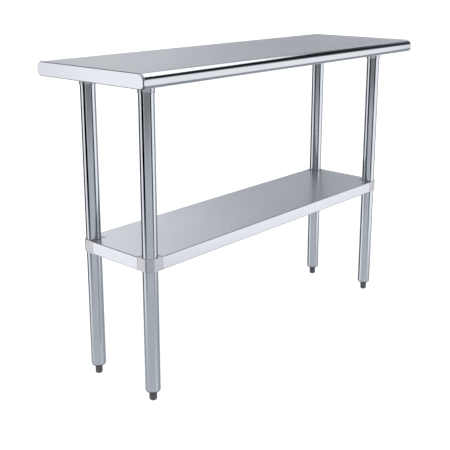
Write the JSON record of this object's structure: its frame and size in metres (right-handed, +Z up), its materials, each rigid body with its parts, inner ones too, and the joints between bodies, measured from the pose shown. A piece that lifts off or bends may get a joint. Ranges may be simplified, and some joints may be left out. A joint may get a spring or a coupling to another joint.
{
  "type": "stainless work table",
  "caption": "Narrow steel prep table with rolled front and rear edges, round legs, levelling feet and a height-adjustable undershelf.",
  "frame": {"origin": "on the floor under the middle of the table", "axes": "+X along the length, +Y from the front edge to the rear edge, +Z up"},
  "size_m": [1.2192, 0.4064, 0.889],
  "materials": {
    "worktop_steel": "brushed stainless sheet with polished rolls",
    "undershelf_steel": "brushed steel sheet",
    "galvanised_channel": "galvanised sheet with a faint spangle",
    "leg_tube_steel": "polished round tube",
    "cast_socket": "polished casting",
    "cast_bracket": "satin casting, lightly brushed",
    "foot_insert_metal": "turned and polished",
    "foot_plastic": "moulded dark grey plastic",
    "stud_steel": "zinc-plated thread",
    "fastener_steel": "zinc-plated"
  },
  "bodies": {
    "table_frame": {"worktop_skin": "worktop_steel", "worktop_end_left": "worktop_steel", "worktop_end_right": "worktop_steel", "cross_channel_left": "galvanised_channel", "cross_channel_right": "galvanised_channel", "long_channel": "galvanised_channel", "socket_screws": "fastener_steel", "weld_nuts": "fastener_steel", "socket_set_screws": "fastener_steel", "leg_socket_front_left": "cast_socket", "leg_front_left": "leg_tube_steel", "foot_insert_front_left": "foot_insert_metal", "leg_socket_front_right": "cast_socket", "leg_front_right": "leg_tube_steel", "foot_insert_front_right": "foot_insert_metal", "leg_socket_rear_left": "cast_socket", "leg_rear_left": "leg_tube_steel", "foot_insert_rear_left": "foot_insert_metal", "leg_socket_rear_right": "cast_socket", "leg_rear_right": "leg_tube_steel", "foot_insert_rear_right": "foot_insert_metal"},
    "undershelf": {"undershelf_pan": "undershelf_steel", "undershelf_channel": "galvanised_channel", "bracket_set_screws": "fastener_steel", "corner_bracket_front_left": "cast_bracket", "corner_bracket_front_right": "cast_bracket", "corner_bracket_rear_left": "cast_bracket", "corner_bracket_rear_right": "cast_bracket"},
    "foot_front_left": {"foot_front_left": "foot_plastic", "foot_stud_front_left": "stud_steel"},
    "foot_front_right": {"foot_front_right": "foot_plastic", "foot_stud_front_right": "stud_steel"},
    "foot_rear_left": {"foot_rear_left": "foot_plastic", "foot_stud_rear_left": "stud_steel"},
    "foot_rear_right": {"foot_rear_right": "foot_plastic", "foot_stud_rear_right": "stud_steel"}
  },
  "joints": [
    {"name": "undershelf_height", "type": "slide", "parent": "table_frame", "child": "undershelf", "axis": [0, 0, 1], "range_m": [-0.31, 0.4]},
    {"name": "front_left_levelling", "type": "slide", "parent": "table_frame", "child": "foot_front_left", "axis": [0, 0, -1], "range_m": [0, 0.025]},
    {"name": "front_right_levelling", "type": "slide", "parent": "table_frame", "child": "foot_front_right", "axis": [0, 0, -1], "range_m": [0, 0.025]},
    {"name": "rear_left_levelling", "type": "slide", "parent": "table_frame", "child": "foot_rear_left", "axis": [0, 0, -1], "range_m": [0, 0.025]},
    {"name": "rear_right_levelling", "type": "slide", "parent": "table_frame", "child": "foot_rear_right", "axis": [0, 0, -1], "range_m": [0, 0.025]}
  ]
}
